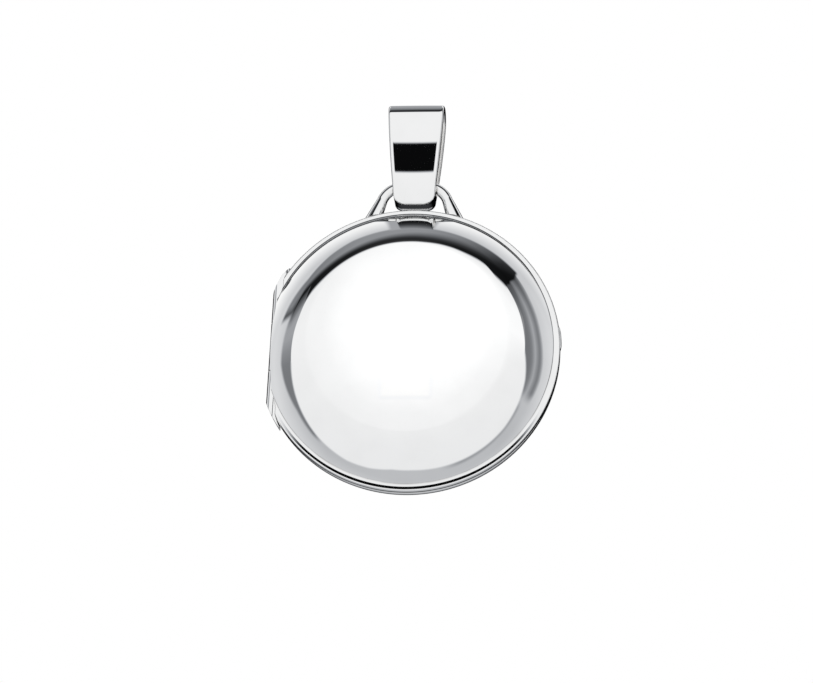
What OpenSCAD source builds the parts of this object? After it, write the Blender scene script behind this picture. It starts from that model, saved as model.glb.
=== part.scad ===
// Round locket with a hinged lid and a folded bail, in the way it hangs from a chain.
// Millimetres. +Z is up, the lid faces -Y and its hinge is on the -X side.
// The origin is the inside of the bail's top, where the chain bears.

/* [Locket] */
// Diameter across the rim
locket_d = 22; // [21:0.5:24]
// Thickness of one half's rim bead, front to back
bead_t = 0.6; // [0.55:0.05:0.7]
// How far the rim bead stands out past the foot of the dome
bead_w = 0.46; // [0.4:0.02:0.5]
// Slope where the nearly flat middle of the dome ends, in degrees
cap_slope = 6.9; // [6:0.1:8]
// Radius of the dome's rounded shoulder
shoulder_r = 3; // [2.5:0.1:4]
// Slope where the shoulder goes over into the flank, in degrees
shoulder_slope = 34; // [30:1:36]
// Radius of the dome's flank
flank_r = 11; // [10:0.5:12]
// Slope of the flank at its foot, in degrees
foot_slope = 48; // [46:1:50]
// Thickness of the sheet that each dome is pressed from
wall = 0.45; // [0.4:0.05:0.5]
// Gap between the two halves along the seam
seam = 0.05; // [0.04:0.01:0.08]

/* [Catch] */
// How far the back half's inner lip stands into the lid
lip_h = 0.5; // [0.4:0.05:0.55]
// Thickness of that lip
lip_t = 0.35; // [0.3:0.05:0.4]
// Gap between the lip and the lid's rim
lip_gap = 0.08; // [0.06:0.01:0.1]
// Length of the thumbnail ledge along the lid's rim
nail_l = 2; // [1:0.2:3]
// How far the thumbnail ledge stands out past the rim
nail_out = 0.1; // [0.05:0.01:0.15]
// Height of the thumbnail ledge above the locket's middle
nail_z = 0.7; // [0:0.1:1]

/* [Hinge] */
// Diameter of the hinge knuckles
knuckle_d = 1.16; // [1.1:0.02:1.18]
// Distance from the rim's outside in to the hinge axis
hinge_in = 1.26; // [1.24:0.01:1.3]
// Length of the lid's knuckle, the middle one of three
knuckle_l = 3.8; // [3:0.1:4.4]
// Gap between knuckles, and between a knuckle and the other half
knuckle_gap = 0.06; // [0.05:0.01:0.08]
// How far the slanted ends of the hinge stand out past the rim
hinge_out = 0.18; // [0.1:0.01:0.2]
// Diameter of the hinge pin
pin_d = 0.5; // [0.4:0.05:0.5]
// Gap around the pin
pin_gap = 0.03; // [0.02:0.01:0.04]
// Angle that each half leaves free beside the knuckles, in degrees
relief_a = 75; // [70:1:76]

/* [Loop] */
// Diameter of the loop's wire
wire_d = 0.8; // [0.7:0.02:0.84]
// Height of the loop's top bar above the rim, at the middle of its wire
loop_h = 2.27; // [2.2:0.01:2.4]
// Straight length of that bar
bar_l = 1.58; // [1.4:0.02:1.7]
// Radius of the bends beside the bar, at the middle of the wire
bend_r = 1.8; // [1.7:0.02:1.86]
// Slant of the loop's legs away from upright, in degrees
splay = 21; // [20:1:24]
// How far the loop's middle lies behind the seam
loop_back = 0.15; // [0.12:0.01:0.2]
// Diameter of the loop's soldered feet, which its legs widen to
foot_d = 1.26; // [1.1:0.02:1.3]

/* [Bail] */
// Height from the loop's bar up to the chain's seat
bail_h = 6.13; // [6:0.01:6.6]
// Height of the bail's solid end below the middle of the loop's bar
tail_h = 1.87; // [1.8:0.01:1.9]
// Thickness of the bail's strip
bail_t = 0.5; // [0.45:0.05:0.6]
// Width of the bail at the chain's seat
bail_w = 4.3; // [4:0.1:4.6]
// Width of the bail near its lower end
low_w = 3.14; // [3:0.02:3.2]
// Depth of the bail near its top, front to back
bail_d = 3.2; // [3:0.1:3.5]
// Radius of the two bends at the bail's top, seen from the side
fold_r = 1.15; // [1:0.05:1.2]
// Angle off the bail's middle at which those bends go over into its crown, in degrees
crown_a = 30; // [28:1:34]
// Depth of the bail at its lower end
tail_d = 1.56; // [1.5:0.02:1.6]
// Radius of the bail's lower corners, seen from the front
corner_r = 0.8; // [0.6:0.05:0.9]
// How much the bail's long edges bulge between their ends
edge_bulge = 0.06; // [0.04:0.01:0.08]
// Gap between the loop's bar and the bail
bar_gap = 0.08; // [0.06:0.01:0.1]

/* [Hidden] */
$fn = 96;
fine = 720;
rim_fn = 180;

rim_r = locket_d / 2;
foot_r = rim_r - bead_w;
mid_z = -(bail_h + loop_h + rim_r);
bead_r = (bead_t - seam / 2) / 2;

// The dome's outline is three arcs that meet without a corner: flank, shoulder and cap.
flank_c = [foot_r - flank_r * sin(foot_slope), bead_t - flank_r * cos(foot_slope)];
shoulder_c = flank_c + (flank_r - shoulder_r) * [sin(shoulder_slope), cos(shoulder_slope)];
cap_r = shoulder_r + shoulder_c[0] / sin(cap_slope);
cap_c = shoulder_c - (cap_r - shoulder_r) * [sin(cap_slope), cos(cap_slope)];
dome_h = cap_c[1] + cap_r;

// The inside of the rim, where the dome's inner side comes down to it.
bore_r = flank_c[0] + sqrt(pow(flank_r - wall, 2) - pow(bead_t - flank_c[1], 2));

hinge_x = hinge_in - rim_r;
knuckle_r = knuckle_d / 2;
lid_z = (knuckle_l - knuckle_gap) / 2;
hinge_l = 2 * sqrt(pow(rim_r + hinge_out, 2) - pow(hinge_x + knuckle_r, 2));
lap = 0.1;
end_z = hinge_l / 2 + 5 * lap;
web_in = 0.45;
web_out = 0.3;
web_low = 0.4;
web_h = 1.1;
foot_in = 0.2;
relief_reach = 4;
lip_base = bead_t - lap;
lip_seat = 0.2;
lip_start = 1.6;
nail_r = 0.24;

bar_z = -bail_h;
leg_l = 2.9;
flare_l = 2;
sink = 0.5;

// Seen from the side the bail is a crown between two bends, and two faces that lean together below them.
fold_y = bail_d / 2 - fold_r;
crown_r = fold_r + fold_y / sin(crown_a);
crown_z = bail_t - crown_r;
fold_z = crown_z + (crown_r - fold_r) * cos(crown_a);
tail_z = bar_z - tail_h;
face_in = (bail_d - tail_d) / 2;
face_r = (pow(face_in, 2) + pow(fold_z - tail_z, 2)) / (2 * face_in);
bar_room = wire_d / 2 + bar_gap;
slot_r = bail_d / 2 - face_r + sqrt(pow(face_r - bail_t, 2) - pow(fold_z - bar_z, 2));

// Each long edge of the bail is one arc from the chain's seat down to the lower corner.
edge_top = [bail_w / 2, 0];
edge_low = [low_w / 2, tail_z + corner_r];
edge_l = norm(edge_top - edge_low);
edge_r = (pow(edge_l / 2, 2) + pow(edge_bulge, 2)) / (2 * edge_bulge);
edge_out = [edge_top[1] - edge_low[1], edge_low[0] - edge_top[0]] / edge_l;
edge_c = (edge_top + edge_low) / 2 - (edge_r - edge_bulge) * edge_out;

// Stands a shape drawn around the Z axis on the locket's middle, with its top to the front.
module to_front() {
    translate([0, 0, mid_z]) rotate([90, 0, 0]) children();
}

// What lies under the dome's outline, with the outline moved inwards by a distance.
module dome_profile(inwards) {
    cap_end = cap_c[0] + (cap_r - inwards) * sin(cap_slope);
    shoulder_end = shoulder_c[0] + (shoulder_r - inwards) * sin(shoulder_slope);
    intersection() {
        translate([0, bead_t]) square([rim_r, dome_h]);
        union() {
            intersection() {
                translate(cap_c) circle(r = cap_r - inwards, $fn = fine);
                square([cap_end, 2 * dome_h]);
            }
            intersection() {
                translate(shoulder_c) circle(r = shoulder_r - inwards);
                square([shoulder_end, 2 * dome_h]);
            }
            intersection() {
                translate(flank_c) circle(r = flank_r - inwards, $fn = fine);
                translate([shoulder_end, 0]) square([rim_r, 2 * dome_h]);
            }
        }
    }
}

// One half: the sheet dome on its thick rim, which ends in a half-round bead.
module half_shell() {
    to_front() rotate_extrude($fn = rim_fn) union() {
        difference() {
            dome_profile(0);
            dome_profile(wall);
        }
        translate([bore_r, seam / 2]) square([rim_r - bead_r - bore_r, 2 * bead_r]);
        translate([rim_r - bead_r, seam / 2 + bead_r]) circle(r = bead_r);
    }
}

// A shape above the locket's middle, and the same one mirrored below it.
module both_ends() {
    children();
    translate([0, 0, 2 * mid_z]) mirror([0, 0, 1]) children();
}

// A round bar on the hinge axis, between two heights from the locket's middle.
module hinge_bar(r, z0, z1) {
    translate([hinge_x, 0, mid_z + z0]) cylinder(r = r, h = z1 - z0);
}

// The disc that the slanted ends of the hinge are filed to.
module hinge_disc(r) {
    to_front() cylinder(r = r, h = 4 * knuckle_d, center = true, $fn = rim_fn);
}

// Room round the other half's knuckle, with a wedge where that half swings back.
module knuckle_room(z0, z1) {
    y = relief_reach * sin(relief_a);
    x = relief_reach * cos(relief_a);
    translate([hinge_x, 0, mid_z + z0]) linear_extrude(height = z1 - z0) union() {
        circle(r = knuckle_r + knuckle_gap);
        polygon([[0, 0], [-x, -y], [-relief_reach, -y], [-relief_reach, y], [-x, y]]);
    }
}

// Where the foot of a half's dome is filed back beside its own knuckle.
module foot_relief(z0, z1) {
    low = knuckle_r - lap;
    rise = 2 * web_h - low;
    translate([hinge_x, 0, mid_z + z0]) linear_extrude(height = z1 - z0)
        polygon([[-foot_in, low], [-foot_in, -low], [-foot_in - rise / tan(relief_a), -low - rise],
            [-relief_reach, -low - rise], [-relief_reach, low]]);
}

// The solder that joins a knuckle to the inside of the lid's dome and rim.
module solder(z0, z1) {
    intersection() {
        to_front() union() {
            rotate_extrude($fn = rim_fn) dome_profile(wall / 2);
            cylinder(r = foot_r - wall / 2, h = bead_t + lap, $fn = rim_fn);
        }
        translate([hinge_x, 0, mid_z + z0]) linear_extrude(height = z1 - z0)
            polygon([[-web_out, -web_low], [web_in, -bead_t / 2], [web_in, -web_h], [-web_out, -web_h]]);
    }
}

// The ledge on the lid's rim that a thumbnail lifts.
module nail_ledge() {
    nail_a = nail_l / rim_r * 180 / PI;
    to_front() rotate([0, 0, asin(nail_z / rim_r) - nail_a / 2]) rotate_extrude(angle = nail_a)
        translate([rim_r - nail_r + nail_out, seam / 2 + bead_r]) circle(r = nail_r);
}

// The lip inside the back half's rim that the lid closes over. It stops short of the hinge.
module catch_lip() {
    lip_r = bore_r - lip_gap;
    difference() {
        to_front() rotate_extrude($fn = rim_fn) translate([lip_r - lip_t, -lip_base]) union() {
            square([lip_t, lip_base + lip_h]);
            square([lip_t + 2 * lip_gap, lip_base - lip_seat]);
        }
        translate([-rim_r, -rim_r, mid_z - rim_r])
            cube([rim_r + hinge_x + lip_start, 2 * rim_r, 2 * rim_r]);
    }
}

// The bend and the leg on one side of the loop, from the end of its bar.
module loop_side() {
    translate([bar_l / 2, 0, -bend_r]) {
        rotate([90, 0, 0]) rotate([0, 0, splay]) rotate_extrude(angle = 90 - splay)
            translate([bend_r, 0]) circle(d = wire_d);
        rotate([0, 180 - splay, 0]) translate([-bend_r, 0, 0]) {
            cylinder(d1 = wire_d, d2 = foot_d, h = flare_l);
            translate([0, 0, flare_l]) cylinder(d = foot_d, h = leg_l - flare_l);
        }
    }
}

// The wire loop on the back half's rim, cut clear of the lid's rim.
module loop() {
    difference() {
        translate([0, loop_back, bar_z]) {
            rotate([0, 90, 0]) cylinder(d = wire_d, h = bar_l, center = true);
            loop_side();
            mirror([1, 0, 0]) loop_side();
        }
        to_front() cylinder(r = rim_r - sink, h = 4, center = true, $fn = rim_fn);
        to_front() translate([0, 0, -seam / 2]) cylinder(r = rim_r + knuckle_gap, h = 4, $fn = rim_fn);
    }
}

// The bail's outline from the side, with the outline moved inwards, down to a height.
module side_form(inwards, low) {
    lens_r = face_r - inwards;
    intersection() {
        translate([0, crown_z]) circle(r = crown_r - inwards, $fn = fine);
        translate([0, crown_z]) polygon([[0, 0], bail_d * [tan(crown_a), 1], bail_d * [-tan(crown_a), 1]]);
    }
    for (side = [-1, 1]) translate([side * fold_y, fold_z]) circle(r = fold_r - inwards);
    intersection() {
        translate([face_r - bail_d / 2, fold_z]) circle(r = lens_r, $fn = fine);
        translate([bail_d / 2 - face_r, fold_z]) circle(r = lens_r, $fn = fine);
        translate([-bail_d, low]) square([2 * bail_d, fold_z - low]);
    }
}

// The bail's outline from the front.
module front_form() {
    intersection() {
        translate(edge_c) circle(r = edge_r, $fn = 4 * fine);
        mirror([1, 0]) translate(edge_c) circle(r = edge_r, $fn = 4 * fine);
        translate([-bail_w / 2, edge_low[1]]) square([bail_w, bail_t - edge_low[1]]);
    }
    for (side = [-1, 1]) translate([side * (edge_low[0] - corner_r), edge_low[1]]) circle(r = corner_r);
    translate([corner_r - edge_low[0], tail_z]) square([low_w - 2 * corner_r, corner_r + 0.01]);
}

// The room that the loop's bar and bends turn in.
module bar_saddle() {
    room_r = bend_r - bar_room;
    translate([0, 0, bar_z]) rotate([0, 90, 0]) rotate_extrude() difference() {
        translate([0, -bar_l / 2 - room_r]) square([bend_r, bar_l + 2 * room_r]);
        for (side = [-1, 1]) translate([bend_r, side * bar_l / 2]) circle(r = room_r);
        translate([bar_room, -bar_l / 2]) square([bend_r, bar_l]);
    }
}

module bail() {
    color("gainsboro") difference() {
        intersection() {
            rotate([90, 0, 90]) linear_extrude(height = 2 * bail_w, center = true)
                side_form(0, tail_z);
            rotate([90, 0, 0]) linear_extrude(height = 2 * bail_d, center = true)
                front_form();
        }
        rotate([90, 0, 90]) linear_extrude(height = 2 * bail_w, center = true) union() {
            side_form(bail_t, bar_z + slot_r - bar_room);
            translate([0, bar_z + slot_r - bar_room]) circle(r = slot_r);
        }
        translate([0, loop_back, 0]) bar_saddle();
    }
}

module back_half() {
    free_z = lid_z + knuckle_gap;
    color("silver") difference() {
        union() {
            difference() {
                union() {
                    mirror([0, 1, 0]) half_shell();
                    both_ends() mirror([0, 1, 0]) solder(free_z + lap, hinge_l / 2);
                }
                both_ends() mirror([0, 1, 0]) foot_relief(free_z - lap, end_z);
            }
            intersection() {
                hinge_bar(knuckle_r, -end_z, end_z);
                hinge_disc(rim_r + hinge_out);
            }
            catch_lip();
            loop();
        }
        knuckle_room(-free_z, free_z);
        hinge_bar(pin_d / 2 + pin_gap, -hinge_l, hinge_l);
    }
}

module hinge_pin() {
    color("darkgray") intersection() {
        hinge_bar(pin_d / 2, -hinge_l / 2, hinge_l / 2);
        hinge_disc(rim_r + hinge_out - knuckle_gap);
    }
}

module front_half() {
    color("silver") difference() {
        union() {
            difference() {
                union() {
                    half_shell();
                    solder(lap - lid_z, lid_z - lap);
                }
                foot_relief(-lid_z - lap, lid_z + lap);
            }
            hinge_bar(knuckle_r, -lid_z - lap, lid_z + lap);
            nail_ledge();
        }
        both_ends() knuckle_room(lid_z, end_z);
        hinge_bar(pin_d / 2 + pin_gap, -hinge_l, hinge_l);
    }
}

bail();
back_half();
hinge_pin();
front_half();
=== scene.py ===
import math

import bpy
import numpy as np
from mathutils import Matrix, Vector


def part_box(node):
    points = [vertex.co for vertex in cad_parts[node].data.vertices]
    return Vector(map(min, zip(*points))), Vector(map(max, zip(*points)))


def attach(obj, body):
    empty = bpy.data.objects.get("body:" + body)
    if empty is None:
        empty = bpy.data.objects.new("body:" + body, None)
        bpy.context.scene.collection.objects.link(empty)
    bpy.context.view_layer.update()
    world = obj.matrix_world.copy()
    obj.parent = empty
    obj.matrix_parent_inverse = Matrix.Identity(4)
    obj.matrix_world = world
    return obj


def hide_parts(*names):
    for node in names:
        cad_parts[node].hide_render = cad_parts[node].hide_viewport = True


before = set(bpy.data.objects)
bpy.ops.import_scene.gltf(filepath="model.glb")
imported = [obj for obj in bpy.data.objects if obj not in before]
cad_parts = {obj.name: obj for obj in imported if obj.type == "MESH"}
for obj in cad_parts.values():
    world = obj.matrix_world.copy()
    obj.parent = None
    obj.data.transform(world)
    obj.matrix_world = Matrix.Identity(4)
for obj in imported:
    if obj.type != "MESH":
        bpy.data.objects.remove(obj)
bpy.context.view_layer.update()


# Camera: a long lens a hand's breadth away, a little below the locket and to its right, looking up at
# the lid. Its roll is half way between the lean of the bail and that of the locket in the photograph.
MM = 0.001
rim_low, rim_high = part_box("front_half")
RIM_R = (rim_high.z - rim_low.z) / 2
RIM_Z = (rim_high.z + rim_low.z) / 2
camera_side, camera_below, camera_roll = math.radians(5), math.radians(21), math.radians(2)
camera_distance = 120 * MM
photo_width, photo_height = 813, 683
rim_pixel = (409.5, 348.6)
pixels_per_mm = 13.665

towards_camera = Vector((math.sin(camera_side) * math.cos(camera_below),
                         -math.cos(camera_side) * math.cos(camera_below), -math.sin(camera_below)))
camera = bpy.data.objects.new("camera", bpy.data.cameras.new("camera"))
camera.data.sensor_width = 36
camera.data.lens = pixels_per_mm / MM * camera_distance * camera.data.sensor_width / photo_width
camera.data.shift_x = (photo_width / 2 - rim_pixel[0]) / photo_width
camera.data.shift_y = (rim_pixel[1] - photo_height / 2) / photo_width
camera.data.clip_start, camera.data.clip_end = 0.005, 20
camera.rotation_mode = "QUATERNION"
camera.location = Vector((0, 0, RIM_Z)) + camera_distance * towards_camera
upright = (-towards_camera).to_track_quat("-Z", "Y")
camera.rotation_quaternion = upright @ Matrix.Rotation(camera_roll, 4, "Z").to_quaternion()
bpy.context.scene.collection.objects.link(camera)
bpy.context.scene.camera = camera
bpy.context.scene.view_settings.view_transform = "Standard"


# Studio: a white tent open at the front, which the polished silver mirrors. Dark boards close its ceiling
# and stand behind its sides, and the room behind the locket is dark, so that every edge gets a fine line.
class Shade:
    """A number, vector or colour on its way through a shader: + - * / and ** on numbers add Math nodes."""

    def __init__(self, nodes, socket):
        self.nodes, self.socket = nodes, socket

    def math(self, operation, *values):
        return self.nodes.add("ShaderNodeMath", {"operation": operation}, dict(enumerate(values)))

    def __add__(self, other):
        return self.math("ADD", self, other)

    def __radd__(self, other):
        return self.math("ADD", other, self)

    def __sub__(self, other):
        return self.math("SUBTRACT", self, other)

    def __rsub__(self, other):
        return self.math("SUBTRACT", other, self)

    def __mul__(self, other):
        return self.math("MULTIPLY", self, other)

    def __rmul__(self, other):
        return self.math("MULTIPLY", other, self)

    def __truediv__(self, other):
        return self.math("DIVIDE", self, other)

    def __pow__(self, other):
        return self.math("POWER", self, other)

    def __neg__(self):
        return self.math("MULTIPLY", self, -1)

    def rises(self, low, high):
        """0 below low, 1 above high and smooth between them; with low above high it falls instead."""
        falls = int(low > high)
        values = {"Value": self, "From Min": min(low, high), "From Max": max(low, high),
                  "To Min": falls, "To Max": 1 - falls}
        return self.nodes.add("ShaderNodeMapRange", {"interpolation_type": "SMOOTHSTEP"}, values)

    def graded(self, *stops):
        """Straight runs between stops, each a pair of this number's value and the number that it gives."""
        places, levels = zip(*stops)
        low, span = min(levels), max(levels) - min(levels)
        along = (self - places[0]) / (places[-1] - places[0])
        ramp = self.nodes.add("ShaderNodeValToRGB", None, {0: along})
        elements = ramp.socket.node.color_ramp.elements
        for place, level in stops:
            share, at = (level - low) / span, (place - places[0]) / (places[-1] - places[0])
            if 0 < at < 1:
                elements.new(at).color = (share, share, share, 1)
            else:
                elements[0 if at == 0 else -1].color = (share, share, share, 1)
        return low + span * ramp

    def out(self, name):
        return Shade(self.nodes, self.socket.node.outputs[name])


class Nodes:
    """The node tree of one material, light or world."""

    def __init__(self, owner):
        owner.use_nodes = True
        self.tree = owner.node_tree
        self.tree.nodes.clear()

    def add(self, kind, settings=None, values=None):
        """One node, with its settings and the values or links of its sockets. Returns its first output."""
        node = self.tree.nodes.new(kind)
        for name, value in (settings or {}).items():
            setattr(node, name, value)
        for name, value in (values or {}).items():
            if isinstance(value, Shade):
                self.tree.links.new(value.socket, node.inputs[name])
            else:
                node.inputs[name].default_value = value
        return Shade(self, node.outputs[0]) if node.outputs else None

    def mix(self, share, first, second):
        """A colour between two colours."""
        mixed = self.add("ShaderNodeMix", {"data_type": "RGBA"}, {0: share, 6: first, 7: second})
        return Shade(self, mixed.socket.node.outputs[2])

    def blend(self, share, first, second):
        """A number between two numbers."""
        return self.add("ShaderNodeMix", {"data_type": "FLOAT"}, {0: share, 2: first, 3: second})


tent = bpy.data.worlds.new("light_tent")
bpy.context.scene.world = tent
n = Nodes(tent)
axes = n.add("ShaderNodeSeparateXYZ", None, {0: n.add("ShaderNodeTexCoord")})
across, deep, up = axes.out("X"), axes.out("Y"), axes.out("Z")
degrees = 180 / math.pi

# A direction has an angle off the front and a clock angle round it, 0 up and 90 to the right. Side and rise
# share the angle off the front out into how far the direction lies to the right and how far up.
off_front = axes.math("ARCCOSINE", -deep) * degrees
clock = axes.math("ARCTAN2", across, up) * degrees
spread = off_front / ((across * across + up * up + 1e-6) ** 0.5)
side, rise = across * spread, up * spread

# The walls of the tent, with a narrow stripe of dark board to the right, a wide board to the left and a grey
# skirt low on the right.
walls = off_front.graded((76, 0.50), (84, 0.57), (92, 0.62), (96, 0.61), (100, 0.69), (104, 0.78),
                         (112, 0.93))
walls = walls * rise.graded((-70, 1.06), (-40, 1.0), (0, 1.02), (60, 1.0))
walls = walls * side.graded((-90, 1.14), (-60, 1.0), (60, 1.0), (88, 1.15))

stripe_at = clock.graded((36, 82), (48, 79), (64, 76.8), (80, 75.4), (88, 74.2), (100, 71))
right_board = (off_front - stripe_at).graded((-12, 0.17), (-5, 0.19), (-3, 0.23), (0, 0.40), (2, 0.29),
                                             (4, 0.21), (5.5, 0.27), (8, 0.60))
right_board = right_board * clock.graded((37, 0.36), (42, 0.6), (50, 0.85), (60, 1.0))
right_on = (off_front - stripe_at).rises(8.5, 7) * clock.rises(20, 24) * clock.rises(103, 95)
walls = n.blend(right_on, walls, right_board)

left_board = rise.graded((5, 0.20), (12, 0.21), (20, 0.27), (28, 0.36), (34, 0.36), (37.5, 0.29), (40, 0.19),
                         (44.5, 0.095), (48, 0.055), (52, 0.02))
left_ends = clock.graded((-126, 76), (-104, 77.5), (-88, 82), (-80, 84), (-60, 84))
left_on = (left_ends - off_front).rises(-1.5, 1.5) * clock.rises(-126, -118) * clock.rises(-42, -47)
walls = n.blend(left_on, walls, left_board)
skirt_on = off_front.rises(72, 69) * clock.rises(100, 108) * clock.rises(165, 150)
walls = n.blend(skirt_on, walls, 0.34)

# The front of the tent is a bright screen, and ends at an angle off the front that differs round the clock.
front_ends = clock.graded((-180, 67), (-168, 67.5), (-155, 71.2), (-142, 73.5), (-120, 74.2), (-80, 73.8),
                          (-72, 69.2), (-64, 64.7), (-56, 60.2), (-45, 58), (-39, 64), (30, 64), (36, 60.5),
                          (48, 62), (56, 63), (64, 64.4), (72, 66), (90, 68.2), (120, 69.2), (150, 68.2),
                          (180, 67))
front = (front_ends - off_front).rises(-1, 1.2)
tented = n.blend(front, walls, rise.graded((-60, 0.845), (-20, 0.865), (5, 0.885), (25, 0.9), (45, 0.88)))

# The boards in the ceiling are black along their front edge and turn to grey further back.
black_to = side.graded((-72, 42), (-66, 48.5), (-60, 51.8), (-20, 52.5), (0, 53.5), (45, 69))
grey_from = side.graded((-72, 46), (-66, 52), (-60, 56), (-40, 58.5), (-10, 65), (0, 67.5), (45, 84))
boards = (rise - black_to) / (grey_from - black_to)
boards = boards.graded((-0.3, 0.010), (0, 0.014), (0.5, 0.05), (1, 0.13), (1.5, 0.21), (2.1, 0.29))
boards = boards * side.graded((-72, 0.8), (-62, 0.68), (-30, 1.0), (0, 1.0), (25, 0.74), (45, 0.5))
boards_low = side.graded((-72, 44.5), (-66, 48), (-60, 50), (-49, 50), (-46.5, 41.3), (-38, 42.1),
                         (-30, 42.2), (-22, 42.9), (-6, 43.5), (-2, 44.4), (2, 47.1), (6, 48.7), (10, 49.4),
                         (14, 51), (18, 52.4), (22, 52.5), (24.5, 47.5), (38, 48.9))
boards_right = rise.graded((47, 36), (50, 38.5), (53, 41.5), (57, 46.5), (62, 49.5), (67, 53), (80, 55.5))
boards_back = side.graded((-75, 91.5), (-62, 90.5), (-50, 94.3), (-38, 96.3), (5, 95), (50, 93))
boards_on = (rise - boards_low).rises(-4, 1.5) * (boards_right - side).rises(-1.2, 1.2)
boards_on = boards_on * (boards_back - off_front).rises(-1.5, 1.5)
tented = n.blend(boards_on, tented, boards)

# The room behind is dark above and at the sides and dim below. A strip of board over the bail stays lit.
round_clock = clock.math("ABSOLUTE", clock)
room_from = round_clock.graded((0, 128), (15, 125), (30, 120), (45, 116), (60, 110), (75, 106), (90, 103),
                               (180, 104))
room = round_clock.graded((0, 0.012), (105, 0.012), (135, 0.3), (180, 0.48))
room = room * off_front.graded((138, 1), (150, 0.08))
tented = n.blend((off_front - room_from).rises(-3, 3), tented, room)
strip_on = off_front.rises(92, 96) * across.rises(-0.21, -0.18) * across.rises(0.06, 0.03) * up.rises(0, 0.1)
tented = n.blend(strip_on, tented, off_front.graded((95, 0.38), (132, 0.38), (150, 0.8)))


def mouth(side, rise):
    """1 in the dark mouth of the tent and 0 round it, with edges one degree soft. The bail mirrors it as one
    black band."""
    left, right, low, high, soft = -9.5, 0, 9.5, 19.9, 1
    return (side.rises(left, left + soft) * side.rises(right, right - soft)
            * rise.rises(low, low + soft) * rise.rises(high, high - soft))


tented = n.blend(mouth(side, rise), tented, 0.003)
tent_tint = n.mix(tented, (0.93, 0.97, 1.05, 1), (1.0, 1.0, 1.0, 1.0))
seen = n.add("ShaderNodeLightPath").out("Is Camera Ray")
mirrored = n.add("ShaderNodeBackground", None, {"Color": tent_tint, "Strength": tented})
backdrop = n.add("ShaderNodeBackground", None, {"Color": (1, 1, 1, 1), "Strength": 1.0})
light = n.add("ShaderNodeMixShader", None, {0: seen, 1: mirrored, 2: backdrop})
n.add("ShaderNodeOutputWorld", None, {0: light})


def panel(name, lit, away, low, high, level, pattern):
    """A flat light panel that stands square to a direction, away from the locket, and lights one piece. Low
    and high are its corners, as the tangents of the angles to the right and up of that direction. Pattern
    gives the share of its full level from those two tangents, as they run over the panel."""
    distance = 10
    right, upwards = Vector((-away.y, away.x, 0)), Vector((0, 0, 1))
    light = bpy.data.lights.new(name, "AREA")
    light.shape = "RECTANGLE"
    light.size, light.size_y = ((b - a) * distance for a, b in zip(low, high))
    light.energy = level * math.pi * light.size * light.size_y
    n = Nodes(light)
    place = n.add("ShaderNodeSeparateXYZ", None, {0: n.add("ShaderNodeNewGeometry").out("Parametric")})
    u, v = (a + (b - a) * place.out(axis) for a, b, axis in zip(low, high, "XY"))
    n.add("ShaderNodeOutputLight", None, {0: n.add("ShaderNodeEmission", None, {"Strength": pattern(u, v)})})
    stand = bpy.data.objects.new(name, light)
    across, up = ((a + b) / 2 for a, b in zip(low, high))
    stand.location = Vector((0, 0, RIM_Z)) + distance * (away + across * right + up * upwards)
    stand.rotation_mode = "QUATERNION"
    stand.rotation_quaternion = away.to_track_quat("Z", "Y")
    stand.visible_camera = False
    bpy.context.scene.collection.objects.link(stand)
    stand.light_linking.receiver_collection = bpy.data.collections.new(name + "_lights")
    stand.light_linking.receiver_collection.objects.link(lit)


# Floor: a plain white sheet far under the hanging locket, of paper that shines a little by itself and so
# stays pale. The silver mirrors the tent and not this sheet.
floor_z, floor_half = -85 * MM, 3.0
floor_corners = [(x * floor_half, y * floor_half, floor_z) for x, y in ((-1, -1), (1, -1), (1, 1), (-1, 1))]
floor_mesh = bpy.data.meshes.new("floor")
floor_mesh.from_pydata(floor_corners, [], [(0, 1, 2, 3)])
floor = bpy.data.objects.new("floor", floor_mesh)
bpy.context.scene.collection.objects.link(floor)
sheet_white = bpy.data.materials.new("floor_sheet")
n = Nodes(sheet_white)
place = n.add("ShaderNodeTexCoord").out("Object")
grain = n.add("ShaderNodeTexNoise", None, {"Vector": place, "Scale": 60.0})
paper = n.mix(grain, (0.9, 0.9, 0.9, 1), (0.93, 0.93, 0.93, 1))
lit = n.add("ShaderNodeBsdfDiffuse", None, {"Color": paper})
bright = n.add("ShaderNodeEmission", None, {"Color": paper})
n.add("ShaderNodeOutputMaterial", None, {0: n.add("ShaderNodeMixShader", None, {0: 0.6, 1: lit, 2: bright})})
floor_mesh.materials.append(sheet_white)
floor.visible_glossy = False


# Lid dome: the front half's sheet silver, pressed in three runs: a nearly flat middle, a tight shoulder
# and a steep flank that stands on the rim. Mirror polished outside and satin inside, as pressed.
BEAD_T, BEAD_W, SEAM, WALL = 0.6 * MM, 0.46 * MM, 0.05 * MM, 0.45 * MM
FOOT_R = RIM_R - BEAD_W
FLANK_R, SHOULDER_R = 11 * MM, 3 * MM
CAP_SLOPE, SHOULDER_SLOPE, FOOT_SLOPE = (math.radians(a) for a in (6.9, 34, 48))
flank_c = np.array([FOOT_R - FLANK_R * math.sin(FOOT_SLOPE), BEAD_T - FLANK_R * math.cos(FOOT_SLOPE)])
shoulder_way = np.array([math.sin(SHOULDER_SLOPE), math.cos(SHOULDER_SLOPE)])
shoulder_c = flank_c + (FLANK_R - SHOULDER_R) * shoulder_way
CAP_R = SHOULDER_R + shoulder_c[0] / math.sin(CAP_SLOPE)
cap_c = shoulder_c - (CAP_R - SHOULDER_R) * np.array([math.sin(CAP_SLOPE), math.cos(CAP_SLOPE)])
BORE_R = flank_c[0] + math.sqrt((FLANK_R - WALL) ** 2 - (BEAD_T - flank_c[1]) ** 2)


def arc(centre, radius, start, end, step=0.5):
    """Points of a circle: centre plus radius times (sin a, cos a), with a running from start to end in
    radians, a step of the given degrees apart."""
    count = max(2, round(abs(end - start) * degrees / step))
    a = np.linspace(start, end, count + 1)[:, None]
    return np.asarray(centre) + radius * np.hstack([np.sin(a), np.cos(a)])


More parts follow.
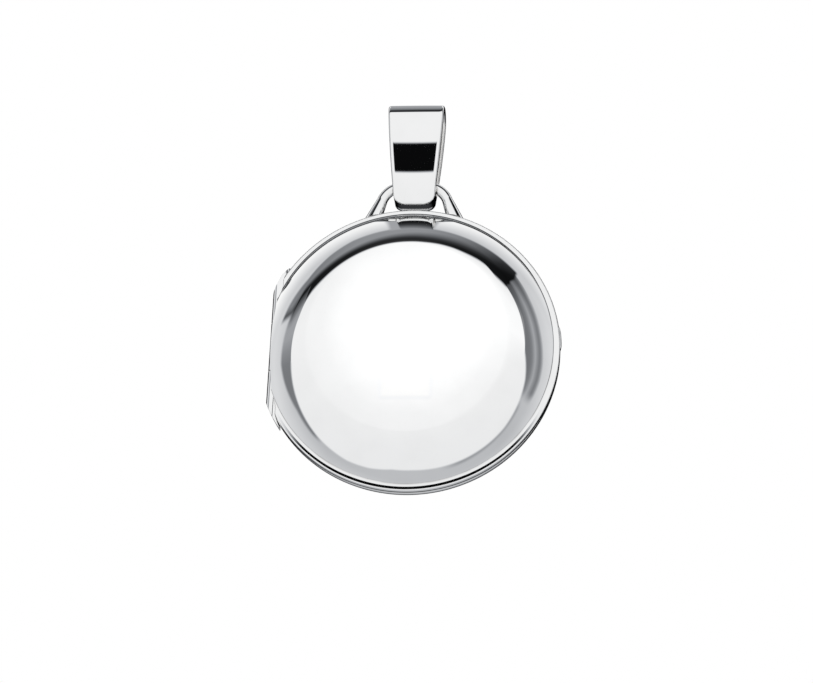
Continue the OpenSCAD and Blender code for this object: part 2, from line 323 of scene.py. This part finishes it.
def dome_line(inwards):
    """The dome's outline from its middle to its foot, as (distance from the axis, height over the seam):
    three arcs that meet without a corner, all moved inwards by the same distance."""
    foot = math.acos((BEAD_T - flank_c[1]) / (FLANK_R - inwards))
    return np.vstack([arc(cap_c, CAP_R - inwards, 0, CAP_SLOPE),
                      arc(shoulder_c, SHOULDER_R - inwards, CAP_SLOPE, SHOULDER_SLOPE)[1:],
                      arc(flank_c, FLANK_R - inwards, SHOULDER_SLOPE, foot)[1:]])


def grid_faces(rows, columns, wrap_rows=False, wrap_columns=True):
    """The squares between neighbouring points of a grid, as rows of four corner numbers."""
    i = np.arange(rows if wrap_rows else rows - 1)[:, None]
    j = np.arange(columns if wrap_columns else columns - 1)[None, :]
    a, b = i * columns + j, (i + 1) % rows * columns + j
    c, d = (i + 1) % rows * columns + (j + 1) % columns, i * columns + (j + 1) % columns
    return np.stack([a + 0 * d, b + 0 * d, c, d], axis=2).reshape(-1, 4)


def new_piece(name, points, *faces, satin=None):
    """A closed form from its points and from arrays of faces. The sum of a . (b x c) over its triangles is
    six times its volume, so a form that comes out inside out is turned. Satin marks the faces of the satin
    finish."""
    points = np.asarray(points, float).reshape(-1, 3)
    fans = np.vstack([np.stack([f[:, 0], f[:, k], f[:, k + 1]], axis=1)
                      for f in faces for k in range(1, f.shape[1] - 1)])
    a, b, c = (points[fans[:, k]] for k in range(3))
    turn = -1 if np.einsum("ij,ij->", a, np.cross(b, c)) < 0 else 1
    mesh = bpy.data.meshes.new(name)
    mesh.from_pydata(points.tolist(), [], [face for f in faces for face in f[:, ::turn].tolist()])
    if satin is not None:
        mesh.polygons.foreach_set("material_index", np.asarray(satin, np.int32))
    piece = bpy.data.objects.new(name, mesh)
    bpy.context.scene.collection.objects.link(piece)
    soften(piece)
    return piece


def soften(piece, sharp=30):
    """Smooth shading, with a crisp edge wherever two faces meet more sharply than the given degrees."""
    piece.data.polygons.foreach_set("use_smooth", np.ones(len(piece.data.polygons), bool))
    piece.data.set_sharp_from_angle(angle=math.radians(sharp))
    piece.data.update()


def turned(name, line, face, columns=360, closed=False, satin=None):
    """A form turned round the locket's axis. Point (r, h) of the line and angle t give (r cos t, face times
    h, middle + r sin t), where face is -1 for the lid and 1 for the back half. A line that isn't closed
    starts and ends on the axis. Satin says for each point of the line whether the run after it is satin."""
    t = np.arange(columns) * 2 * math.pi / columns
    body = line if closed else line[1:-1]
    satin = np.zeros(len(line)) if satin is None else np.asarray(satin, float)
    r, h = body[:, :1], body[:, 1:]
    points = np.stack([r * np.cos(t), face * h + 0 * t, RIM_Z + r * np.sin(t)], axis=2).reshape(-1, 3)
    walls = grid_faces(len(body), columns, wrap_rows=closed)
    if closed:
        return new_piece(name, points, walls, satin=np.repeat(satin, columns))
    j = np.arange(columns)
    first, last, end = len(points), len(points) + 1, (len(body) - 1) * columns
    points = np.vstack([points, [0, face * line[0, 1], RIM_Z], [0, face * line[-1, 1], RIM_Z]])
    first_fan = np.stack([first + 0 * j, j, (j + 1) % columns], axis=1)
    last_fan = np.stack([last + 0 * j, end + (j + 1) % columns, end + j], axis=1)
    satin = np.repeat(np.r_[satin[1:-2], satin[0], satin[-1]], columns)
    return new_piece(name, points, walls, first_fan, last_fan, satin=satin)


def prism(name, outline, low, high):
    """A straight bar with an outline in X and Y, wound anticlockwise, from one height to another."""
    outline = np.asarray(outline, float)
    count = len(outline)
    points = np.vstack([np.hstack([outline, np.full((count, 1), z)]) for z in (low, high)])
    j = np.arange(count)
    walls = np.stack([j, (j + 1) % count, count + (j + 1) % count, count + j], axis=1)
    return new_piece(name, points, walls, j[None, ::-1], count + j[None, :])


def shaped(piece, operation, tool):
    """Cuts a tool away from a piece or joins it on, and takes the tool off the bench."""
    cut = piece.modifiers.new(tool.name, "BOOLEAN")
    cut.operation, cut.object, cut.solver = operation, tool, "EXACT"
    result = bpy.data.meshes.new_from_object(piece.evaluated_get(bpy.context.evaluated_depsgraph_get()))
    piece.modifiers.clear()
    old, piece.data = piece.data, result
    result.name = piece.name
    bpy.data.meshes.remove(old)
    bpy.data.meshes.remove(tool.data)
    soften(piece)
    return piece


def dome(name, face):
    """One sheet dome: the outside, then back along the inside, with its foot let into the rim."""
    let_in = np.array([0, 0.02 * MM])
    outside, inside = dome_line(0), dome_line(WALL)[::-1]
    line = np.vstack([outside, outside[-1] - let_in, inside[0] - let_in, inside])
    return turned(name, line, face, satin=np.arange(len(line)) > len(outside))


def silver(name, satin=False):
    """Polished silver with fine wear, and painted shade that darkens the seam between the halves and the
    crease at the dome's foot, or the satin silver of the pressed inside."""
    material = bpy.data.materials.new(name)
    n = Nodes(material)
    place = n.add("ShaderNodeTexCoord").out("Object")
    cloud = n.add("ShaderNodeTexNoise", None, {"Vector": place, "Scale": 420.0, "Detail": 3.0})
    fine = n.add("ShaderNodeTexNoise", None, {"Vector": place, "Scale": 9000.0, "Detail": 2.0})
    axes = n.add("ShaderNodeSeparateXYZ", None, {0: place})
    depth = axes.math("ABSOLUTE", axes.out("Y"))
    round_axis = (axes.out("X") ** 2 + (axes.out("Z") - RIM_Z) ** 2) ** 0.5
    # Painted shade, in cloudy patches, near the seam between the halves and in the crease at the dome's
    # foot.
    corner = round_axis.math("ABSOLUTE", round_axis - (FOOT_R - 0.05 * MM)).rises(0.05 * MM, 0.015 * MM)
    painted_shade = depth.rises(0.12 * MM, 0.02 * MM) + corner * depth.rises(0.5 * MM, 0.58 * MM)
    painted_shade = painted_shade * cloud.rises(0.25, 0.6) * round_axis.rises(RIM_R + 0.3 * MM, RIM_R + 0.1 * MM)
    bright, worn = ((0.90, 0.89, 0.87, 1), (0.80, 0.79, 0.77, 1)) if satin else ((0.975, 0.975, 0.97, 1),
                                                                                  (0.95, 0.95, 0.945, 1))
    colour = n.mix(cloud.rises(0.3, 0.75), bright, worn)
    # The painted shade mixes in a dark brown-grey, at half strength at most.
    colour = n.mix(painted_shade * 0.5, colour, (0.42, 0.40, 0.38, 1))
    if satin:
        rough = 0.22 + 0.14 * fine
        bump = n.add("ShaderNodeBump", None, {"Strength": 0.25, "Distance": 0.004 * MM, "Height": fine})
    else:
        rough = 0.012 + 0.02 * cloud.rises(0.45, 0.8) + 0.012 * fine
        bump = n.add("ShaderNodeBump", None, {"Strength": 0.02, "Distance": 0.001 * MM, "Height": fine})
    metal = n.add("ShaderNodeBsdfPrincipled", None,
                  {"Base Color": colour, "Metallic": 1.0, "Roughness": rough, "Normal": bump})
    n.add("ShaderNodeOutputMaterial", None, {0: metal})
    return material


polished, satin_silver = silver("polished_silver"), silver("satin_silver", satin=True)

# The hinge side, where both halves are filed free. LID_Z is half the lid's knuckle, and END_Z lies beyond
# the ends of the hinge.
HINGE_X, HINGE_OUT_R, END_Z = -9.74 * MM, RIM_R + 0.18 * MM, 6.96 * MM
KNUCKLE_R, KNUCKLE_GAP, LID_Z = 0.58 * MM, 0.06 * MM, 1.87 * MM
RELIEF_A, RELIEF_DEEP = math.radians(75), 2.2 * MM
FOOT_IN, LAP, REACH = 0.2 * MM, 0.1 * MM, 4 * MM


def foot_relief(face, low, high):
    """What is filed off a half beside its own knuckle, between two heights from the locket's middle."""
    near, far = KNUCKLE_R - LAP, RELIEF_DEEP
    lean = (far - near) / math.tan(RELIEF_A)
    outline = [(-FOOT_IN, -near), (-FOOT_IN, near), (-REACH, near), (-REACH, -far), (-FOOT_IN - lean, -far)]
    outline = [(HINGE_X + x, -face * y) for x, y in outline]
    return prism("foot_relief", outline, RIM_Z + low, RIM_Z + high)


def knuckle_room(low, high):
    """Room round the other half's knuckle, with a wedge where that half swings back."""
    lean = math.pi - RELIEF_A
    round_part = arc((0, 0), KNUCKLE_R + KNUCKLE_GAP, math.pi / 2 + lean, math.pi / 2 - lean, 5)
    corners = REACH * np.array([(math.cos(lean), math.sin(lean)), (-1, math.sin(lean)),
                                (-1, -math.sin(lean)), (math.cos(lean), -math.sin(lean))])
    outline = np.vstack([round_part, corners]) + [HINGE_X, 0]
    return prism("knuckle_room", outline, RIM_Z + low, RIM_Z + high)


def file_hinge_side(piece, face):
    """Files a half's dome or rim free for the hinge: the lid has the middle knuckle and the back half the
    outer two."""
    own, free = LID_Z, LID_Z + KNUCKLE_GAP
    if face < 0:
        tools = [foot_relief(face, -own - LAP, own + LAP), knuckle_room(own, END_Z),
                 knuckle_room(-END_Z, -own)]
    else:
        tools = [foot_relief(face, free - LAP, END_Z), foot_relief(face, -END_Z, LAP - free),
                 knuckle_room(-free, free)]
    for tool in tools:
        shaped(piece, "DIFFERENCE", tool)


def finished(piece, body, node):
    """Gives a piece its silver, hangs it on its body and hides the frame's part that it stands for."""
    piece.data.materials.append(polished)
    piece.data.materials.append(satin_silver)
    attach(piece, body)
    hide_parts(node)


lid_dome = dome("lid_dome", -1)
file_hinge_side(lid_dome, -1)
finished(lid_dome, "lid", "front_half")


def front_glow(u, v):
    """The light in front of the lid: it fills the tent's mouth, and glows round and to the right of it."""
    off = (u * u + v * v + 1e-6) ** 0.5
    turn = off.math("ARCTANGENT", off) * degrees / off
    side, rise = u * turn, v * turn
    fill = 0.889 * mouth(side, rise)
    disc = ((side + 4.5) ** 2 + ((rise - 24) * 0.86) ** 2) ** 0.5
    disc = disc.graded((0, 0.2), (9, 0.18), (12, 0.13), (14.5, 0.06), (18, 0.025), (24, 0.008), (30, 0))
    bar = rise.graded((4, 0), (10, 0.005), (15, 0.03), (20, 0.075), (24, 0.12), (35, 0.11), (41, 0.05),
                      (48, 0))
    bar = bar * side.rises(-6, 10)
    return fill + disc + bar


panel("front_glow", lid_dome, Vector((0, -1, 0)), (-0.7, 0.01), (2.2, 1.5), 1.0, front_glow)


# Lid rim: a drawn silver ring, flat in front and rounded over, soldered round the dome's foot. It carries
# the middle hinge knuckle on a web of solder, and a small ledge at three o'clock that a thumbnail lifts.
BEAD_R = (BEAD_T - SEAM / 2) / 2
PIN_R, PIN_ROOM = 0.25 * MM, 0.03 * MM
HINGE_L = 2 * math.sqrt(HINGE_OUT_R ** 2 - (HINGE_X + KNUCKLE_R) ** 2)
EDGE, FILLET, ROUND = 0.03 * MM, 0.14 * MM, 0.14 * MM
WEB_BACK, WEB_FRONT, WEB_LOW, WEB_TOP = 0.3 * MM, 0.3 * MM, 0.2 * MM, 1.1 * MM
WEB_HOLLOW_C, WEB_HOLLOW_R = (0.62 * MM, 1.05 * MM), 0.55 * MM
NAIL_L, NAIL_OUT, NAIL_Z, NAIL_R, NAIL_SUNK = 2 * MM, 0.1 * MM, 0.7 * MM, 0.24 * MM, 0.01 * MM


def rim_ring(name, face):
    """The ring's section: over its outside in half an ellipse, a flat front, a hollow fillet of solder up
    the dome's foot, square inside, and satin on the side that is turned to the pictures."""
    bead = arc((0, 0), 1, math.pi, 0, 5) * [ROUND, BEAD_R] + [RIM_R - ROUND, SEAM / 2 + BEAD_R]
    fillet_r = FILLET / math.tan(FOOT_SLOPE / 2)
    fillet = arc((FOOT_R + FILLET, BEAD_T + fillet_r), fillet_r, math.pi, math.pi + FOOT_SLOPE, 6)
    beside, into_dome = 0.01 * MM, 0.1 * MM
    flat = [[bead[-1, 0] - beside, BEAD_T], [fillet[0, 0] + beside, BEAD_T]]
    under = fillet[-1, 0] - into_dome
    line = np.vstack([bead, flat, fillet, [[under, fillet[-1, 1]], [under, BEAD_T], [BORE_R, BEAD_T],
                                           [BORE_R, SEAM / 2 + EDGE], [BORE_R + EDGE, SEAM / 2]]])
    return turned(name, line, face, closed=True, satin=np.arange(len(line)) >= len(line) - 3)


def knuckle(name, low, high, slanted=False, below=False):
    """A tube on the hinge axis with eased ends. A slanted outer end is filed to a circle round the rim's
    middle: at x it stands at the height sqrt(R^2 - x^2). Below turns it upside down."""
    columns = 72
    bore = PIN_R + PIN_ROOM
    t = np.arange(columns) * 2 * math.pi / columns
    end_r = np.array([[bore], [bore + EDGE], [KNUCKLE_R - EDGE], [KNUCKLE_R]])
    end_ease = np.array([[EDGE], [0], [0], [EDGE]])
    r = np.vstack([end_r, end_r[::-1]])
    x, y = HINGE_X + r * np.cos(t), r * np.sin(t)
    outer = np.sqrt(HINGE_OUT_R ** 2 - x ** 2) if slanted else high + 0 * x
    z = np.vstack([low + end_ease + 0 * t, outer[len(end_r):] - end_ease])
    if below:
        z = -z
    return new_piece(name, np.stack([x, y, RIM_Z + z], axis=2), grid_faces(len(r), columns, wrap_rows=True))


def solder_web(face, low, high):
    """The solder between a knuckle and the inside of its dome and rim, with a hollow fillet on its free
    side. It is cut to the form that runs down the middle of the dome's sheet."""
    hollow = arc(WEB_HOLLOW_C, WEB_HOLLOW_R, math.radians(200), math.radians(262), 6)
    outline = np.vstack([[[-WEB_BACK, WEB_LOW], [WEB_FRONT, WEB_LOW]], hollow[::-1], [[-WEB_BACK, WEB_TOP]]])
    outline = (outline * [1, face] + [HINGE_X, 0])[::-face]
    web = prism("solder_web", outline, RIM_Z + low, RIM_Z + high)
    line = np.vstack([dome_line(WALL / 2), [FOOT_R - WALL / 2, 0], [0, 0]])
    return shaped(web, "INTERSECT", turned("dome_core", line, face, columns=180))


def nail_ledge():
    """The ledge: rings of one radius on an arc of the rim, which rise out of the bead by NAIL_OUT times
    1 - s^4 as s runs from -1 to 1 along the arc."""
    rows, columns = 41, 32
    s, t = np.linspace(-1, 1, rows)[:, None], np.arange(columns) * 2 * math.pi / columns
    turn = math.asin(NAIL_Z / RIM_R) + s * (NAIL_L / 2 / RIM_R)
    r = RIM_R - NAIL_R + NAIL_OUT * (1 - s ** 4) - NAIL_SUNK + NAIL_R * np.cos(t)
    h = SEAM / 2 + BEAD_R + NAIL_R * np.sin(t) + 0 * s
    points = np.stack([r * np.cos(turn), -h, RIM_Z + r * np.sin(turn)], axis=2)
    first_end = np.arange(columns)[None, :]
    last_end = (rows - 1) * columns + first_end[:, ::-1]
    return new_piece("nail_ledge", points, grid_faces(rows, columns), first_end, last_end)


lid_rim = rim_ring("lid_rim", -1)
file_hinge_side(lid_rim, -1)
shaped(lid_rim, "UNION", solder_web(-1, LAP - LID_Z, LID_Z - LAP))
shaped(lid_rim, "UNION", knuckle("lid_knuckle", -LID_Z, LID_Z))
shaped(lid_rim, "UNION", nail_ledge())
finished(lid_rim, "lid", "front_half")


# Back dome: the same pressing of sheet silver as the lid's, mirror polished outside and satin inside, on the
# back. A soft panel of light behind it lights it alone.
back_dome = dome("back_dome", 1)
file_hinge_side(back_dome, 1)
finished(back_dome, "case", "back_half")
panel("back_glow", back_dome, Vector((0, 1, 0)), (-2, 0.01), (2, 1.6), 0.8,
      lambda u, v: u.rises(-2, -1.2) * u.rises(2, 1.2) * v.rises(0, 0.3) * v.rises(1.6, 1.1))


# Back rim: the ring of the back half. It carries the two outer knuckles, filed off slantwise to the rim's
# circle, the inner lip that the lid snaps over, and the wire loop soldered on at twelve o'clock.
LIP_T, LIP_GAP, LIP_H, LIP_EASE = 0.35 * MM, 0.08 * MM, 0.5 * MM, 0.08 * MM
LIP_FOOT, LIP_STEP, LIP_STOP_X = 0.5 * MM, 0.2 * MM, 8.14 * MM
LOOP_BACK, LOOP_H = 0.15 * MM, 2.27 * MM
BAR_L, BEND_R, WIRE_R = 1.58 * MM, 1.8 * MM, 0.4 * MM
LEG_L, LEG_SWELL_L, LEG_R, SPLAY = 2.3 * MM, 2 * MM, 0.63 * MM, math.radians(21)
SOLDER_IN, SOLDER_OUT = 0.02 * MM, 0.06 * MM
BAR_Z = RIM_Z + RIM_R + LOOP_H


def lip():
    """The catch: an arc of a thin ring inside the rim, which stops short of the hinge at both ends."""
    lip_r = BORE_R - LIP_GAP
    inner_r, foot_r = lip_r - LIP_T, lip_r + 2 * LIP_GAP
    line = np.array([[inner_r, -LIP_FOOT], [foot_r, -LIP_FOOT], [foot_r, -LIP_STEP], [lip_r, -LIP_STEP],
                     [lip_r, LIP_H - LIP_EASE], [lip_r - LIP_EASE, LIP_H], [inner_r + LIP_EASE, LIP_H],
                     [inner_r, LIP_H - LIP_EASE]])
    stop = math.pi - math.acos(LIP_STOP_X / lip_r)
    t = np.linspace(-stop, stop, 300)
    r, h = line[:, :1], line[:, 1:]
    points = np.stack([r * np.cos(t), -h + 0 * t, RIM_Z + r * np.sin(t)], axis=2)
    walls = grid_faces(len(line), len(t), wrap_rows=True, wrap_columns=False)
    end = np.arange(len(line))[None, :] * len(t)
    satin = np.ones(len(walls) + 2)
    return new_piece("catch_lip", points, walls, end[:, ::-1], end + len(t) - 1, satin=satin)


def wire_loop():
    """A round wire along a bar, two bends and two splayed legs. Every ring of the wire is
    path + R (cos t across the path + sin t along Y), and R grows evenly down the legs to their feet."""
    leg = np.linspace(0, LEG_L, 23)[:, None]
    bend = np.radians(np.linspace(0, 90 - math.degrees(SPLAY), 32))[:, None]
    bend_end = np.array([BAR_L / 2 + BEND_R * math.cos(SPLAY), -BEND_R + BEND_R * math.sin(SPLAY)])
    arc_part = [BAR_L / 2, -BEND_R] + BEND_R * np.hstack([np.sin(bend), np.cos(bend)])
    leg_part = bend_end + leg * [math.sin(SPLAY), -math.cos(SPLAY)]
    side = np.vstack([[[0, 0]], arc_part, leg_part[1:]])
    lead = np.vstack([[[1, 0]], np.hstack([np.cos(bend), -np.sin(bend)]),
                      np.repeat([[math.sin(SPLAY), -math.cos(SPLAY)]], len(leg) - 1, axis=0)])
    swell = np.r_[np.zeros(1 + len(bend)), np.clip(leg[1:, 0] / LEG_SWELL_L, 0, 1)]
    path = np.vstack([side[:0:-1] * [-1, 1], side])
    lead = np.vstack([lead[:0:-1] * [1, -1], lead])
    radius = WIRE_R + (LEG_R - WIRE_R) * np.r_[swell[:0:-1], swell][:, None]
    columns = 48
    t = np.arange(columns) * 2 * math.pi / columns
    x = path[:, :1] - radius * lead[:, 1:] * np.cos(t)
    y = LOOP_BACK + radius * np.sin(t)
    z = BAR_Z + path[:, 1:] + radius * lead[:, :1] * np.cos(t)
    points = np.stack([x, y, z], axis=2)
    first_end = np.arange(columns)[None, :]
    last_end = (len(path) - 1) * columns + first_end[:, ::-1]
    return new_piece("wire_loop", points, grid_faces(len(path), columns), first_end, last_end)


back_rim = rim_ring("back_rim", 1)
file_hinge_side(back_rim, 1)
own_end = LID_Z + KNUCKLE_GAP
for end in (-1, 1):
    reach = sorted((end * (own_end + LAP), end * HINGE_L / 2))
    shaped(back_rim, "UNION", solder_web(1, *reach))
    shaped(back_rim, "UNION", knuckle("back_knuckle", own_end, 0, slanted=True, below=end < 0))
loop = wire_loop()
clear_r, clear_h = RIM_R + SOLDER_OUT, 2 * MM
clear_line = np.array([[0, SOLDER_IN], [clear_r, SOLDER_IN], [clear_r, -clear_h], [0, -clear_h]])
shaped(loop, "DIFFERENCE", turned("lid_room", clear_line, 1))
shaped(back_rim, "UNION", loop)
shaped(back_rim, "UNION", lip())
finished(back_rim, "case", "back_half")


# Bail: one strip of silver, tapered and folded over for the chain, its two rounded ends soldered together
# below the loop's bar. Its long edges are rounded over and its face is polished flat.
STRIP, BAIL_TOP, TAIL_Z = 0.5 * MM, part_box("bail")[1].z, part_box("bail")[0].z
BAIL_D, TAIL_D, BAIL_BEND_R, CROWN_A = 3.2 * MM, 1.56 * MM, 1.15 * MM, math.radians(30)
END_R, SOLDER_UP = 0.25 * MM, 0.1 * MM
BAIL_W, LOW_W, CORNER_R, BULGE = 4.3 * MM, 3.14 * MM, 0.8 * MM, 0.06 * MM
OVER, FACE_CROWN_R = 0.2 * MM, 200 * MM
CROWN_R = BAIL_BEND_R + (BAIL_D / 2 - BAIL_BEND_R) / math.sin(CROWN_A)
CROWN_Z = BAIL_TOP - CROWN_R
SEAT_Z = CROWN_Z + (CROWN_R - BAIL_BEND_R) * math.cos(CROWN_A)
FACE_IN = (BAIL_D - TAIL_D) / 2
FACE_R = (FACE_IN ** 2 + (SEAT_Z - TAIL_Z) ** 2) / (2 * FACE_IN)
BAR_ROOM = WIRE_R + 0.08 * MM
SLOT_R = BAIL_D / 2 - FACE_R + math.sqrt((FACE_R - STRIP) ** 2 - (SEAT_Z - BAR_Z) ** 2)
SLOT_Z = BAR_Z + SLOT_R - BAR_ROOM


def half_width(z):
    """The bail's half width at a height: an arc that bulges a little, then the round lower corner."""
    top, low = np.array([BAIL_W / 2, 0]), np.array([LOW_W / 2, TAIL_Z + CORNER_R])
    chord = math.hypot(*(top - low))
    edge_r = ((chord / 2) ** 2 + BULGE ** 2) / (2 * BULGE)
    out = np.array([top[1] - low[1], low[0] - top[0]]) / chord
    centre = (top + low) / 2 - (edge_r - BULGE) * out
    edge = centre[0] + np.sqrt(edge_r ** 2 - (z - centre[1]) ** 2)
    corner = LOW_W / 2 - CORNER_R + np.sqrt(np.clip(CORNER_R ** 2 - (TAIL_Z + CORNER_R - z) ** 2, 0, None))
    return np.where(z > low[1], edge, corner)


def bail_outlines():
    """The outline of the strip's outside and the one of its inside, seen from the side, as matching rows of
    (y, z): over the top, round the bend, down the face, round the soldered end, and up the back."""
    crown_c, bend_c = [0, CROWN_Z], [-BAIL_D / 2 + BAIL_BEND_R, SEAT_Z]
    face_c = [FACE_R - BAIL_D / 2, SEAT_Z]
    slot_a = math.asin((SEAT_Z - SLOT_Z) / (FACE_R - STRIP))
    face_a = math.asin((SEAT_Z - TAIL_Z - END_R) / (FACE_R - END_R))
    outside, inside = [
        np.vstack([arc(crown_c, CROWN_R - inwards, 0, CROWN_A, 2) * [-1, 1],
                   (arc([0, 0], BAIL_BEND_R - inwards, CROWN_A, math.pi / 2, 2) * [-1, 1] + bend_c)[1:],
                   (face_c - arc([0, 0], FACE_R - inwards, math.pi / 2, math.pi / 2 - slot_a, 0.2))[1:]])
        for inwards in (0, STRIP)]
    end_c = [face_c[0] - (FACE_R - END_R) * math.cos(face_a), TAIL_Z + END_R]
    solder_y = end_c[0] + math.sqrt(END_R ** 2 - (END_R - SOLDER_UP) ** 2)
    solder_a = math.acos(1 - SOLDER_UP / END_R)
    k = np.linspace(1, 0, 6)[1:, None]
    end = np.vstack([face_c - arc([0, 0], FACE_R, math.pi / 2 - slot_a, math.pi / 2 - face_a, 0.12),
                     (end_c - arc([0, 0], END_R, math.pi / 2 - face_a, -solder_a, 8))[1:],
                     np.hstack([solder_y * k, TAIL_Z + SOLDER_UP + 0 * k])])
    run = np.r_[0, np.cumsum(np.hypot(*np.diff(end, axis=0).T))]
    quarter = (run / run[-1] * math.pi / 2)[:, None]
    slot_end = [0, SLOT_Z] - SLOT_R * np.hstack([np.cos(quarter), np.sin(quarter)])
    outside, inside = np.vstack([outside, end[1:]]), np.vstack([inside, slot_end[1:]])
    return [np.vstack([line, line[-2:0:-1] * [-1, 1]]) for line in (outside, inside)]


def bail_section():
    """Half a section of the strip as rows of (share of the flat width, step towards the edge, share of the
    depth, step in depth): the outside, its rounded edge, the side, the inner edge and the inside."""
    flat, side, a = np.linspace(0, 1, 13), np.linspace(0, 1, 11)[1:-1], np.linspace(0, math.pi / 2, 9)[1:]
    b = a[::-1]
    runs = [(flat, 0, 0, 0), (1, OVER * np.sin(a), 0, OVER * (1 - np.cos(a))),
            (1, OVER, side, OVER * (1 - 2 * side)), (1, OVER * np.sin(b), 1, OVER * (np.cos(b) - 1)),
            (flat[::-1], 0, 1, 0)]
    return np.vstack([np.stack(np.broadcast_arrays(*run), axis=1) for run in runs])


def bail_strip():
    """Rows run round the strip and columns round its section. A point is outside + depth times the way to
    the inside, at x = share (half width - edge) + step. The loop's room is then pressed out of the slot:
    within reach of the bar a point moves straight away from its axis."""
    outside, inside = bail_outlines()
    depth = np.hypot(*(inside - outside).T)
    inward = (inside - outside) / depth[:, None]
    half = bail_section()
    section = np.vstack([half, half[-2:0:-1]])
    side = np.r_[np.ones(len(half)), -np.ones(len(half) - 2)]
    share, step, down, extra = section.T
    middle_high = (1 - down) * (share * BAIL_W / 2) ** 2 / (2 * FACE_CROWN_R)
    deep = down * depth[:, None] + extra + middle_high
    y = outside[:, :1] + inward[:, :1] * deep
    z = outside[:, 1:] + inward[:, 1:] * deep
    x = side * (share * (half_width(z) - OVER) + step)
    beside = np.clip(np.abs(x) - BAR_L / 2, 0, BEND_R - BAR_ROOM)
    room = BEND_R - np.sqrt((BEND_R - BAR_ROOM) ** 2 - beside ** 2)
    away = np.hypot(y - LOOP_BACK, z - BAR_Z)
    grow = np.where(away < room, room / np.maximum(away, 0.01 * MM), 1)
    y, z = LOOP_BACK + (y - LOOP_BACK) * grow, BAR_Z + (z - BAR_Z) * grow
    points = np.stack([x, y, z], axis=2)
    faces = grid_faces(len(points), len(section), wrap_rows=True)
    satin = np.tile(np.minimum(down, np.roll(down, -1)) == 1, len(points))
    return new_piece("bail_strip", points, faces, satin=satin)


bail = bail_strip()
finished(bail, "bail", "bail")


# Hinge pin: a straight wire of hard silver through the three knuckles, filed off with them. It keeps its
# form from the frame and gets the polished silver.
pin = bpy.data.objects["hinge_pin"]
for place in range(len(pin.material_slots)):
    pin.material_slots[place].material = polished
